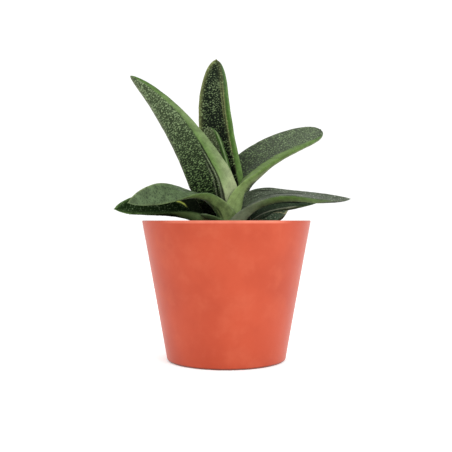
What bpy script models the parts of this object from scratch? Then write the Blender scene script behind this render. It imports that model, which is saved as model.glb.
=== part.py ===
"""A potted gasteria: a warty-leaved succulent rosette growing in a plain tapered clay pot.

The pot stands on the origin with +Z up, and the plant's front is -Y. The pot, the soil, the stem with its
roots, and each leaf are separate solids. A leaf is a keeled blade: its rings of points follow a cubic
Bezier route, and where leaves crowd at the crown the outer one is hollowed to clasp the inner ones.
"""

import math
from dataclasses import dataclass

import bmesh
import bpy
from mathutils import Matrix, Vector
from mathutils.geometry import interpolate_bezier

MM = 0.001
GAP = 0.3 * MM  # air between pieces that rest on or in one another
WELD = 0.01 * MM  # points closer than this are one

# The pot
POT_HEIGHT = 90.5 * MM
POT_RIM_RADIUS = 55 * MM
POT_BASE_RADIUS = 38.6 * MM
POT_WALL = 4 * MM
POT_FLOOR = 5 * MM
POT_FLOOR_CORNER = 3 * MM
POT_FOOT_ROUNDING = 2 * MM
POT_RIM_ROUNDING = 1.2 * MM
POT_SIDES = 64

# The soil: a low mound round the crown, whose top is given as (share of the radius, height)
SOIL_TOP = ((1.0, 76 * MM), (0.62, 80.5 * MM), (0.34, 85.5 * MM), (0.0, 87 * MM))
SOIL_BASE_CORNER = 3 * MM
SOIL_SIDES = 32

# The stem and roots
STEM_X = 5 * MM
STEM_RADIUS = 4.5 * MM
STEM_TOP = 93 * MM
STEM_FOOT = 62 * MM
ROOT_COUNT = 5
ROOT_RADIUS = 1.6 * MM
ROOT_TIP_RADIUS = 0.5 * MM
ROOT_SPREAD = 24 * MM
ROOT_DEPTH = 22 * MM
ROOT_POINTS = 8

# How finely a leaf is made, and how far it keeps off the leaves it clasps
LEAF_STATIONS = 16
CLASP_GAP = 0.5 * MM  # along the corners' own directions, which leaves about GAP between the faces
TIP_SHARE = 0.995  # the last ring's place along the leaf, before the point
MUCRO_LENGTH = 0.8 * MM

CLAY = ((0.66, 0.12, 0.06), 0.6)
SOIL = ((0.035, 0.022, 0.014), 0.95)
ROOT = ((0.55, 0.42, 0.25), 0.8)
LEAF_ROUGHNESS = 0.5
GREEN = (0.06, 0.09, 0.04)
YOUNG_GREEN = (0.08, 0.12, 0.045)
SHADED_GREEN = (0.03, 0.045, 0.02)
OLD_BROWN = (0.06, 0.055, 0.03)


@dataclass(frozen=True)
class Leaf:
    """One leaf. Its route's four points are a cubic Bezier's, in millimetres."""

    name: str
    colour: tuple
    route: tuple  # root, two handles, tip
    outward: float  # degrees: the way the leaf leans out from the stem, 0 along +X
    roll: tuple  # (place, degrees) pairs: how far the blade is turned about its route
    width: float  # mm, margin to margin at the widest
    thickness: tuple  # mm, upper face to keel at the root and in the blade
    keel: float  # where the keel lies across the leaf, -1 and 1 being the margins
    clasp: float  # mm the margins rise above the middle at the root, round the leaves inside
    root_share: float  # width at the root, as a share of the widest
    widest: float  # place of the widest point along the leaf
    taper: float  # how long the blade stays wide past its widest point
    blunt: float  # 1 gives a straight-sided point, 2 a round end


# From the innermost leaf outwards: each one makes room for all those before it.
LEAVES = (
    Leaf("leaf_young_centre", YOUNG_GREEN,
         ((2, 0, 90), (-2.7, 0, 112), (-10.9, 2, 135), (-12.2, 3, 152)),
         100, ((0, -48), (1, -48)), 17.6, (6.5, 4.6), -1.0, 0, 0.75, 0.5, 2.3, 2.2),
    Leaf("leaf_upright_back", GREEN,
         ((4, 2, 88), (-1.8, 5, 125), (-16.4, 14, 160), (-7, 18, 199.8)),
         105, ((0, -52), (1, -46)), 23.9, (9, 7.3), -1.0, 2, 0.78, 0.35, 3.2, 2.1),
    Leaf("leaf_upper_left", GREEN,
         ((2, -4, 90), (-10, -11, 119), (-30, -19, 158.5), (-59.5, -27, 180)),
         205, ((0, 75), (1, 60)), 29.3, (9.5, 8), 0.25, 0, 0.76, 0.3, 0.94, 1.6),
    Leaf("leaf_upper_right", GREEN,
         ((3.5, -6.5, 88), (-3.5, 2.5, 123.8), (29, 17, 142.6), (65.5, 30, 154)),
         22, ((0.05, 0), (0.45, 27)), 30.4, (17, 4), -0.9, 11, 0.68, 0.6, 3.1, 2.7),
    Leaf("leaf_left_broad", GREEN,
         ((3, -10, 90), (-8, -16, 112.2), (-29, -31, 112.7), (-58, -44, 101.2)),
         212, ((0.35, 0), (1, -75)), 18, (13.5, 3.4), 0.7, 3.5, 0.72, 0.65, 1.6, 1.7),
    Leaf("leaf_right_arching", GREEN,
         ((3, -12, 88), (19, -17, 117.2), (45, -19, 105.6), (79, -12, 104.4)),
         -5, ((0.2, 34), (0.6, 16), (1, 30)), 18, (9, 5), -0.7, 8, 0.8, 0.35, 1.7, 1.8),
    Leaf("leaf_left_low", SHADED_GREEN,
         ((-2, -10, 84), (-14, -14, 98), (-45, -19, 105.8), (-70.2, -20, 97.8)),
         195, ((0.25, 0), (0.75, -50)), 17.4, (13.5, 5.1), 0.7, 0, 0.6, 0.68, 2.0, 1.5),
    Leaf("leaf_left_shaded", SHADED_GREEN,
         ((-2, 4, 86), (-12, 8, 104), (-30, 12, 104), (-48, 16, 97)),
         165, ((0, -50), (1, -30)), 17, (6, 5), 0.6, 0, 0.6, 0.5, 2.0, 1.5),
    Leaf("leaf_right_shaded", SHADED_GREEN,
         ((12, 0, 87), (22, 2, 102), (39, 4, 103), (60, 6, 102.2)),
         5, ((0, 38), (1, 30)), 15.5, (5, 4), -0.6, 3, 0.6, 0.45, 1.6, 1.4),
    Leaf("leaf_right_old", OLD_BROWN,
         ((14, -8, 83), (23, -10, 89.5), (31, -8, 94), (39.5, -6, 96.8)),
         -20, ((0, 50), (1, 40)), 11.8, (7, 4.5), -0.5, 0, 0.7, 0.5, 1.8, 1.5),
    Leaf("leaf_front_small", GREEN,
         ((3, -18, 86), (-3, -19, 92), (-10, -21, 95), (-16, -21, 94.5)),
         215, ((0, -10), (1, -10)), 8, (5, 4), 0.5, 0, 0.7, 0.5, 2.0, 1.8),
)


def clear_scene():
    for old in list(bpy.data.objects):
        bpy.data.objects.remove(old)


def make_material(name, colour, roughness):
    made = bpy.data.materials.new(name)
    made.use_nodes = True
    shader = made.node_tree.nodes["Principled BSDF"]
    shader.inputs["Base Color"].default_value = (*colour, 1)
    shader.inputs["Roughness"].default_value = roughness
    shader.inputs["Metallic"].default_value = 0
    return made


def add_object(name, bm, colour, roughness, smooth_below=40):
    """A new object from bm, shaded smooth across edges flatter than smooth_below degrees."""
    bmesh.ops.recalc_face_normals(bm, faces=bm.faces)
    mesh = bpy.data.meshes.new(name)
    bm.to_mesh(mesh)
    bm.free()
    mesh.shade_smooth()
    mesh.set_sharp_from_angle(angle=math.radians(smooth_below))
    mesh.materials.append(make_material(name, colour, roughness))
    made = bpy.data.objects.new(name, mesh)
    bpy.context.scene.collection.objects.link(made)
    return made


def join_rings(bm, rings):
    """Joins each ring of points to the next with quads, and fills the first ring."""
    for ring, following in zip(rings, rings[1:]):
        for i in range(len(ring)):
            j = (i + 1) % len(ring)
            bm.faces.new((ring[i], ring[j], following[j], following[i]))
    bm.faces.new(rings[0])


# Pot and soil


def arc(centre_r, centre_z, radius, start, end, steps=4):
    """Points (r, z) along an arc, with its angles in degrees from outwards, turning towards up."""
    angles = [math.radians(start + (end - start) * i / steps) for i in range(steps + 1)]
    return [(centre_r + radius * math.cos(a), centre_z + radius * math.sin(a)) for a in angles]


def turned(outline, sides):
    """A closed solid of revolution about Z. The outline's first and last points lie on the axis."""
    bm = bmesh.new()
    points = [bm.verts.new((r, 0, z)) for r, z in outline]
    edges = [bm.edges.new(pair) for pair in zip(points, points[1:])]
    bmesh.ops.spin(bm, geom=points + edges, axis=(0, 0, 1), cent=(0, 0, 0),
                   angle=2 * math.pi, steps=sides, use_merge=True)
    bmesh.ops.remove_doubles(bm, verts=bm.verts, dist=WELD)
    return bm


def wall_slope():
    """How far the pot's wall moves outwards for each unit of height."""
    return (POT_RIM_RADIUS - POT_BASE_RADIUS) / POT_HEIGHT


def inner_radius(z):
    """The pot's inside radius at height z."""
    return POT_BASE_RADIUS + wall_slope() * z - POT_WALL


def make_pot():
    lean = math.degrees(math.atan(wall_slope()))
    foot = arc(POT_BASE_RADIUS - POT_FOOT_ROUNDING * (1 - wall_slope()), POT_FOOT_ROUNDING,
               POT_FOOT_ROUNDING, -90, -lean)
    rim_z = POT_HEIGHT - POT_RIM_ROUNDING
    outer_lip = arc(POT_RIM_RADIUS - POT_RIM_ROUNDING, rim_z, POT_RIM_ROUNDING, -lean, 90, 3)
    inner_lip = arc(inner_radius(POT_HEIGHT) + POT_RIM_ROUNDING, rim_z, POT_RIM_ROUNDING, 90, 180, 3)
    corner_z = POT_FLOOR + POT_FLOOR_CORNER
    floor_corner = [(inner_radius(corner_z), corner_z),
                    (inner_radius(POT_FLOOR) - POT_FLOOR_CORNER, POT_FLOOR)]
    outline = [(0, 0), *foot, *outer_lip, *inner_lip, *floor_corner, (0, POT_FLOOR)]
    return add_object("pot", turned(outline, POT_SIDES), *CLAY)


def make_soil():
    """The soil, clear of the pot's faceted wall by twice the gap, so that it keeps the gap at the corners."""
    low = POT_FLOOR + GAP
    corner_z = low + SOIL_BASE_CORNER
    outline = [(0, low),
               (inner_radius(low) - SOIL_BASE_CORNER - 2 * GAP, low),
               (inner_radius(corner_z) - 2 * GAP, corner_z)]
    outline += [(share * (inner_radius(z) - 2 * GAP), z) for share, z in SOIL_TOP]
    return add_object("potting_soil", turned(outline, SOIL_SIDES), *SOIL)


# Stem and roots


def tube(route, radii, sides):
    """A tapering closed tube through the route's points."""
    bm = bmesh.new()
    rings = []
    for i, (point, radius) in enumerate(zip(route, radii)):
        ahead = route[min(i + 1, len(route) - 1)] - route[max(i - 1, 0)]
        turn = ahead.to_track_quat("Z", "Y").to_matrix().to_4x4()
        made = bmesh.ops.create_circle(bm, segments=sides, radius=radius,
                                       matrix=Matrix.Translation(point) @ turn)
        rings.append(made["verts"])
    join_rings(bm, rings)
    bm.faces.new(rings[-1])
    return bm


def root_route(angle):
    """A root's line out from the stem and down."""
    out = Vector((math.cos(angle), math.sin(angle), 0))
    down = Vector((0, 0, -ROOT_DEPTH))
    spread = ROOT_SPREAD * (0.8 + 0.2 * math.cos(2 * angle))
    start = Vector((STEM_X, 0, STEM_FOOT + ROOT_RADIUS * 4))
    return interpolate_bezier(start, start + out * spread * 0.6, start + out * spread + down * 0.4,
                              start + out * spread * 1.1 + down * 1.3, ROOT_POINTS)


def make_stem():
    """The short stem, joined to its fleshy roots."""
    heights = (STEM_FOOT, STEM_FOOT + STEM_RADIUS, STEM_TOP - STEM_RADIUS / 2, STEM_TOP)
    radii = (0.6 * STEM_RADIUS, STEM_RADIUS, STEM_RADIUS, 0.5 * STEM_RADIUS)
    route = [Vector((STEM_X, 0, z)) for z in heights]
    stem = add_object("stem_with_roots", tube(route, radii, sides=12), *ROOT)
    last = ROOT_POINTS - 1
    taper = [ROOT_RADIUS + (ROOT_TIP_RADIUS - ROOT_RADIUS) * n / last for n in range(ROOT_POINTS)]
    for i in range(ROOT_COUNT):
        line = root_route(2 * math.pi * (i + 0.3) / ROOT_COUNT)
        root = add_object(f"root_{i + 1}", tube(line, taper, sides=6), *ROOT)
        add_boolean(stem, as_cutter(root), "UNION")
    return stem


# Cutting pieces to fit one another


def as_cutter(obj):
    obj.hide_render = True
    obj.display_type = "WIRE"
    return obj


def add_boolean(body, other, operation, solver="EXACT"):
    change = body.modifiers.new(f"{operation.lower()}_{other.name}", "BOOLEAN")
    change.operation = operation
    change.object = other
    change.solver = solver


def room_for(obj):
    """A cutter shaped as obj stands now, grown by the clasp gap all over."""
    bm = bmesh.new()
    bm.from_object(obj, bpy.context.evaluated_depsgraph_get())
    mesh = bpy.data.meshes.new(f"{obj.name}_room")
    bm.to_mesh(mesh)
    bm.free()
    room = bpy.data.objects.new(mesh.name, mesh)
    bpy.context.scene.collection.objects.link(room)
    grow = room.modifiers.new("grow", "DISPLACE")
    grow.strength = CLASP_GAP
    grow.mid_level = 0
    return as_cutter(room)


def carve(obj, rooms):
    """Cuts every room out of obj, and keeps the body that reaches furthest.

    A thin sheath that is cut through leaves chips behind, which go. The rooms overlap one another and graze
    the leaf almost along its faces, where the EXACT solver gives an empty mesh, so this uses MANIFOLD.
    """
    for room in rooms:
        add_boolean(obj, room, "DIFFERENCE", "MANIFOLD")
    bm = bmesh.new()
    bm.from_object(obj, bpy.context.evaluated_depsgraph_get())
    bmesh.ops.triangulate(bm, faces=bm.faces)
    for chip in sorted(loose_bodies(bm), key=reach)[:-1]:
        bmesh.ops.delete(bm, geom=list(chip), context="FACES")
    obj.modifiers.clear()
    bm.to_mesh(obj.data)
    bm.free()


def loose_bodies(bm):
    """The sets of faces that share edges."""
    bodies = []
    left = set(bm.faces)
    while left:
        front = [left.pop()]
        body = set(front)
        while front:
            near = {face for old in front for edge in old.edges for face in edge.link_faces}
            front = list(near - body)
            body |= near
        left -= body
        bodies.append(body)
    return bodies


def reach(body):
    """The diagonal of the box round a body of faces."""
    points = [vert.co for face in body for vert in face.verts]
    spans = [max(p[k] for p in points) - min(p[k] for p in points) for k in range(3)]
    return Vector(spans).length


# Leaves


def section(keel):
    """The blade's outline as (across, depth): -1 to 1 from margin to margin, and 0 down to -1 at the keel.

    The upper face comes first, with rounded margins, then the narrow flank beside the keel and the broad one.
    """
    side = 1 if keel >= 0 else -1
    k = abs(keel)
    upper = [(-1.0, -0.09), (-0.93, 0.05), (-0.5, 0.0), (0.0, -0.04), (0.5, 0.0), (0.93, 0.05)]
    narrow = [(1.0, -0.10), ((1 + k) / 2 + 0.03, -0.55), (k + 0.04, -0.95)]
    broad = [(k - 0.08, -1.0), (k * 0.5 - 0.25, -0.82), (k * 0.15 - 0.72, -0.42)]
    return [(side * a, d) for a, d in upper + narrow + broad][::side]


def half_width(leaf, s):
    """Share of the leaf's half width at s, from 0 at the root to 1 at the tip."""
    if s <= leaf.widest:
        return leaf.root_share + (1 - leaf.root_share) * math.sin(math.pi / 2 * s / leaf.widest)
    x = (s - leaf.widest) / (1 - leaf.widest)
    return (1 - x**leaf.taper) ** (1 / leaf.blunt)


def depth(leaf, s):
    """The leaf's thickness at s, in millimetres: swollen at the root, and thinner to the tip."""
    root, blade = leaf.thickness
    full = blade * (1 - 0.3 * s) + (root - blade) * (1 - s) ** 4
    return full * min(1, half_width(leaf, s) * 1.4)


def along(route, s):
    """Place and direction at s along a cubic Bezier."""
    a, b, c, d = (Vector(p) * MM for p in route)
    r = 1 - s
    place = r**3 * a + 3 * r * r * s * b + 3 * r * s * s * c + s**3 * d
    ahead = r * r * (b - a) + 2 * r * s * (c - b) + s * s * (d - c)
    return place, ahead.normalized()


def leaf_axes(leaf, s, ahead):
    """Unit vectors across the blade and out of its upper face, square to its route."""
    out = math.radians(leaf.outward)
    side = Vector((-math.sin(out), math.cos(out), 0))
    across = (side - side.dot(ahead) * ahead).normalized()
    up = ahead.cross(across)
    degrees = leaf.roll[0][1]
    for (start, before), (end, after) in zip(leaf.roll, leaf.roll[1:]):
        x = min(1, max(0, (s - start) / (end - start)))
        degrees += (after - before) * x * x * (3 - 2 * x)
    roll = math.radians(degrees)
    return (across * math.cos(roll) + up * math.sin(roll), up * math.cos(roll) - across * math.sin(roll))


def ring_places(leaf):
    """Places of the rings along the leaf, closer together towards a round tip."""
    even = [n / LEAF_STATIONS for n in range(LEAF_STATIONS + 1)]
    if leaf.blunt > 1.4:
        return [TIP_SHARE * math.sin(math.pi / 2 * x) ** 0.9 for x in even]
    return [TIP_SHARE * x for x in even]


def leaf_ring(leaf, s):
    """The points round the leaf at s."""
    place, ahead = along(leaf.route, s)
    across, up = leaf_axes(leaf, s, ahead)
    half = half_width(leaf, s) * leaf.width / 2 * MM
    thick = depth(leaf, s) * MM
    lift = leaf.clasp * (1 - s) ** 3 * MM
    return [place + across * a * half + up * (d * thick + a * a * lift) for a, d in section(leaf.keel)]


def make_leaf(leaf):
    bm = bmesh.new()
    rings = [[bm.verts.new(point) for point in leaf_ring(leaf, s)] for s in ring_places(leaf)]
    join_rings(bm, rings)
    tip, ahead = along(leaf.route, 1)
    mucro = bm.verts.new(tip + ahead * MUCRO_LENGTH)
    last = rings[-1]
    for i in range(len(last)):
        bm.faces.new((last[i], last[(i + 1) % len(last)], mucro))
    return add_object(leaf.name, bm, leaf.colour, LEAF_ROUGHNESS)


def main():
    clear_scene()
    make_pot()
    soil = make_soil()
    stem = make_stem()
    rooms = [room_for(stem)]
    for spec in LEAVES:
        leaf = make_leaf(spec)
        room = room_for(leaf)
        carve(leaf, rooms)
        rooms.append(room)
    carve(soil, rooms)


main()
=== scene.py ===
"""Potted gasteria: the finished leaves, soil and pot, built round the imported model's solids.

Lengths are in metres unless a name or a note says millimetres. The pot stands on the origin, +Z is up and
the plant's front is -Y. Leaves are lofted along the same routes as their solids, with warts as real relief.
"""

import math
from dataclasses import dataclass

import bmesh
import bpy
import numpy as np
from bpy.props import FloatProperty, FloatVectorProperty, IntProperty, PointerProperty
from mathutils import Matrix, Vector, noise


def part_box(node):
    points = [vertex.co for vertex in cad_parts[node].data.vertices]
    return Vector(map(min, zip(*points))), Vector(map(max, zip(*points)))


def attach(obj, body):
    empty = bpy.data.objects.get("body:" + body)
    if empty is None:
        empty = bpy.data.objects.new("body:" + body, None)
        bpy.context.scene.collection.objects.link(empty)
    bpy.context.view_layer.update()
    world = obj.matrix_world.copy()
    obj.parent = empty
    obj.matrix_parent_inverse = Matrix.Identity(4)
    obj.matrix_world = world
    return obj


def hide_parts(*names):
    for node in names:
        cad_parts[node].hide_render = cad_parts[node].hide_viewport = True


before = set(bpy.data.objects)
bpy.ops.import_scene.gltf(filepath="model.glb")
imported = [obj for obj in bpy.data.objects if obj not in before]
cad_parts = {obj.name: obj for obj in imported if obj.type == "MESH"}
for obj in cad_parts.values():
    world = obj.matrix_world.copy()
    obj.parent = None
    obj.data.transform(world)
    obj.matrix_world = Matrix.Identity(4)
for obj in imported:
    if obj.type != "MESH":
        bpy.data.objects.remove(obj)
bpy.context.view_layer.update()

bl_info = {
    "name": "Potted Gasteria",
    "version": (1, 0, 0),
    "blender": (4, 5, 0),
    "location": "View3D > Sidebar > Gasteria",
    "description": "Builds a warty-leaved succulent in a clay pot, with its soil and a studio stage",
    "category": "Add Mesh",
}

MM = 0.001
POT_LOW, POT_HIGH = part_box("pot")
SOIL_LOW, SOIL_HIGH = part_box("potting_soil")
BODY = "root"
WELD = 0.001 * MM  # vertices closer than this are one
LEVEL = 0.01 * MM  # heights closer than this are the same
ROUND = 0.1 * MM  # and radii


# Leaves: shapes in millimetres and degrees, as their solids have them


@dataclass(frozen=True)
class Look:
    """What a leaf's skin shows. Colours are linear RGB."""

    ground: tuple  # between the warts, at the root
    ground_tip: tuple
    wart: tuple
    wart_tip: tuple
    strip_root: tuple  # the smooth narrow flank, at the root, in the blade and at the tip
    strip: tuple
    strip_tip: tuple
    strip_keel: tuple  # the same flank, towards its keel
    edge: tuple  # along the outer margin
    edge_amount: float = 0.6
    edge_width: float = 0.8  # mm
    inner_edge: float = 0.3  # how much of that shows on the inner margin
    spacing: float = 1.3  # mm between warts
    size: float = 0.5  # mm, a wart's radius
    cover: float = 0.9  # share of the places that hold a wart
    cluster: tuple = (5.0, 3.0)  # mm, how wide and how long their clusters are
    clumping: float = 0.5  # 0 spreads the warts evenly, 1 leaves bare gaps
    haze: tuple = (0.4, 0.4)  # fine pale mottling between the warts, at the root and at the tip
    streak: float = 0.0  # long dark streaks
    patchy: float = 1.0  # how strong the skin's cloudy light and dark is
    root_dark: float = 0.001  # place up to which the skin is painted nearly black: painted shade far down in the crown
    relief: float = 1.0
    gloss: float = 0.06
    sheen: float = 0.12


@dataclass(frozen=True)
class Leaf:
    """One leaf. Its route's four points are a cubic Bezier's."""

    name: str
    slot: str
    mesh_step: float  # mm between mesh points
    route: tuple  # root, two handles, tip
    outward: float  # the way the leaf leans out from the stem, 0 along +X
    roll: tuple  # (place, degrees) pairs: how far the blade is turned about its route
    width: float  # margin to margin at the widest
    thickness: tuple  # upper face to keel, at the root and in the blade
    keel: float  # where the keel lies across the leaf, -1 and 1 being the margins
    clasp: float  # how far the margins rise above the middle at the root
    root_share: float  # width at the root, as a share of the widest
    widest: float  # place of the widest point along the leaf
    taper: float  # how long the blade stays wide past its widest point
    blunt: float  # 1 gives a straight-sided point, 2 a round end
    look: Look
    point: float = 1.0  # length of the small point at the tip, as a share of the setting
    strip_cover: tuple = ((0.0, 1.0), (1.0, 1.0))  # (place, share of the narrow flank that is smooth)
    strip_over: tuple = ((0.0, 0.0), (1.0, 0.0))  # (place, mm of the upper face that it covers too)
    strip_past: tuple = ((0.0, 0.0), (1.0, 0.0))  # (place, mm that it reaches past the keel)
    lines: tuple = ()  # each Line that runs along the leaf


@dataclass(frozen=True)
class Line:
    """A line along the leaf, at a distance from its keel or from its narrow flank's margin.

    Beside the keel, distances above 0 lie on the narrow flank and those below 0 on the broad one. Beside
    the margin, distances above 0 lie on the upper face and those below 0 on the narrow flank.
    """

    beside: str  # "keel" or "margin"
    distance: tuple  # (place, mm) pairs
    width: float  # mm
    start: float  # place where it fades in
    end: float  # place where it has faded out
    dark: bool  # a dark groove, or else a pale line


UPPER_LEFT = Look(
    ground=(0.004, 0.01, 0.003), ground_tip=(0.045, 0.065, 0.03),
    wart=(0.115, 0.185, 0.065), wart_tip=(0.205, 0.27, 0.142),
    strip_root=(0.4, 0.46, 0.26), strip=(0.145, 0.205, 0.085), strip_tip=(0.06, 0.12, 0.028),
    strip_keel=(0.1, 0.18, 0.045), edge=(0.21, 0.24, 0.15), edge_amount=0.8, edge_width=1.7,
    spacing=1.25, size=0.48, cover=0.7, clumping=0.3, haze=(0.75, 0.95), root_dark=0.24, gloss=0.03,
    sheen=0.03)
UPRIGHT = Look(
    ground=(0.0025, 0.004, 0.0025), ground_tip=(0.009, 0.014, 0.008),
    wart=(0.11, 0.17, 0.06), wart_tip=(0.145, 0.2, 0.095),
    strip_root=(0.12, 0.2, 0.06), strip=(0.035, 0.09, 0.01), strip_tip=(0.04, 0.08, 0.03),
    strip_keel=(0.12, 0.2, 0.06), edge=(0.24, 0.275, 0.1), edge_amount=1.0, edge_width=2.6, spacing=1.55,
    size=0.56, cover=0.8, cluster=(10, 4.5), clumping=1.0, haze=(0.3, 0.7), gloss=0.02, sheen=0.03)
YOUNG = Look(
    ground=(0.0, 0.0, 0.0), ground_tip=(0.05, 0.07, 0.028),
    wart=(0.09, 0.14, 0.05), wart_tip=(0.18, 0.225, 0.12),
    strip_root=(0.07, 0.14, 0.035), strip=(0.02, 0.06, 0.006), strip_tip=(0.03, 0.075, 0.01),
    strip_keel=(0.035, 0.075, 0.015), edge=(0.24, 0.31, 0.16), edge_amount=1.0, edge_width=1.0,
    spacing=1.35, size=0.52, cover=0.75, cluster=(3, 3.5), clumping=0.8, haze=(0.4, 0.7), gloss=0.03,
    sheen=0.05)
UPPER_RIGHT = Look(
    ground=(0.006, 0.011, 0.004), ground_tip=(0.038, 0.055, 0.026),
    wart=(0.095, 0.15, 0.055), wart_tip=(0.165, 0.225, 0.115),
    strip_root=(0.2, 0.28, 0.1), strip=(0.1, 0.165, 0.04), strip_tip=(0.08, 0.14, 0.04),
    strip_keel=(0.19, 0.21, 0.11), edge=(0.2, 0.21, 0.14), edge_amount=0.7, edge_width=1.1,
    inner_edge=0.0, cover=0.6, cluster=(5, 4), clumping=0.7, haze=(0.55, 0.75), gloss=0.04, sheen=0.08)
LEFT_BROAD = Look(
    ground=(0.057, 0.105, 0.031), ground_tip=(0.07, 0.106, 0.048),
    wart=(0.028, 0.05, 0.016), wart_tip=(0.034, 0.052, 0.026),
    strip_root=(0.15, 0.21, 0.075), strip=(0.1, 0.17, 0.045), strip_tip=(0.1, 0.165, 0.055),
    strip_keel=(0.1, 0.15, 0.05), edge=(0.25, 0.31, 0.14), edge_amount=0.7, spacing=1.6, size=0.45,
    cover=0.08, cluster=(5, 6), clumping=0.8, haze=(0.8, 1.1), patchy=1.7, relief=0.3, sheen=0.08)
SMALL_FRONT = Look(
    ground=(0.06, 0.105, 0.035), ground_tip=(0.09, 0.14, 0.05),
    wart=(0.09, 0.13, 0.05), wart_tip=(0.13, 0.18, 0.085),
    strip_root=(0.05, 0.09, 0.03), strip=(0.05, 0.09, 0.03), strip_tip=(0.06, 0.1, 0.04),
    strip_keel=(0.03, 0.05, 0.018), edge=(0.12, 0.17, 0.08), edge_amount=0.7, spacing=1.5, size=0.45,
    cover=0.3)
RIGHT_ARCHING = Look(
    ground=(0.05, 0.067, 0.04), ground_tip=(0.07, 0.09, 0.058),
    wart=(0.14, 0.165, 0.115), wart_tip=(0.4, 0.4, 0.36),
    strip_root=(0.285, 0.365, 0.225), strip=(0.085, 0.155, 0.035), strip_tip=(0.1, 0.135, 0.07),
    strip_keel=(0.09, 0.13, 0.05), edge=(0.24, 0.27, 0.2), edge_width=0.9, spacing=1.6, size=0.42,
    cover=0.12, cluster=(3, 9), clumping=0.8, haze=(0.45, 0.2), streak=0.9, relief=0.3, gloss=0.04,
    sheen=0.06)
# Painted shade, in part: this leaf's own dark green is darkened further for the shade it lies in under the
# broad left leaf
LEFT_LOW = Look(
    ground=(0.002, 0.004, 0.002), ground_tip=(0.008, 0.017, 0.005),
    wart=(0.05, 0.075, 0.035), wart_tip=(0.075, 0.11, 0.055),
    strip_root=(0.19, 0.3, 0.12), strip=(0.09, 0.145, 0.05), strip_tip=(0.1, 0.185, 0.05),
    strip_keel=(0.05, 0.09, 0.03), edge=(0.12, 0.21, 0.065), edge_amount=0.9, edge_width=1.8,
    inner_edge=0.25, spacing=1.4, size=0.46, cover=0.4, cluster=(5, 4), clumping=0.8, haze=(0.2, 0.3),
    gloss=0.0, sheen=0.0)
SHADED = Look(
    ground=(0.03, 0.05, 0.028), ground_tip=(0.012, 0.026, 0.01),
    wart=(0.1, 0.13, 0.085), wart_tip=(0.08, 0.115, 0.065),
    strip_root=(0.09, 0.11, 0.07), strip=(0.06, 0.085, 0.04), strip_tip=(0.05, 0.09, 0.025),
    strip_keel=(0.05, 0.07, 0.035), edge=(0.4, 0.42, 0.29), edge_amount=0.9, edge_width=0.3,
    inner_edge=0.0, spacing=1.4, size=0.42, cover=0.35, cluster=(5, 4), clumping=0.8, haze=(0.5, 0.5),
    gloss=0.01, sheen=0.02)
# Painted shade: near-black colours for a leaf far inside the rosette. Its yellow edge colour is the painted
# highlight of a lit crescent on its margin.
PAINTED_INNER_SHADE = Look(
    ground=(0.004, 0.006, 0.003), ground_tip=(0.004, 0.006, 0.003),
    wart=(0.015, 0.02, 0.01), wart_tip=(0.015, 0.022, 0.01),
    strip_root=(0.01, 0.015, 0.007), strip=(0.01, 0.015, 0.007), strip_tip=(0.01, 0.015, 0.007),
    strip_keel=(0.01, 0.015, 0.007), edge=(0.6, 0.7, 0.14), edge_amount=1.0, edge_width=0.01,
    inner_edge=0.0, cover=0.3, haze=(0.3, 0.3), gloss=0.0, sheen=0.0)
OLD = Look(
    ground=(0.034, 0.072, 0.036), ground_tip=(0.095, 0.15, 0.085),
    wart=(0.2, 0.25, 0.16), wart_tip=(0.42, 0.44, 0.33),
    strip_root=(0.02, 0.03, 0.015), strip=(0.06, 0.07, 0.035), strip_tip=(0.1, 0.09, 0.05),
    strip_keel=(0.03, 0.04, 0.02), edge=(0.75, 0.7, 0.36), edge_amount=1.0, edge_width=0.05,
    inner_edge=0.0, spacing=1.6, cover=0.3, cluster=(5, 4), haze=(0.3, 0.35), streak=0.7, gloss=0.02,
    sheen=0.04)

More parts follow.
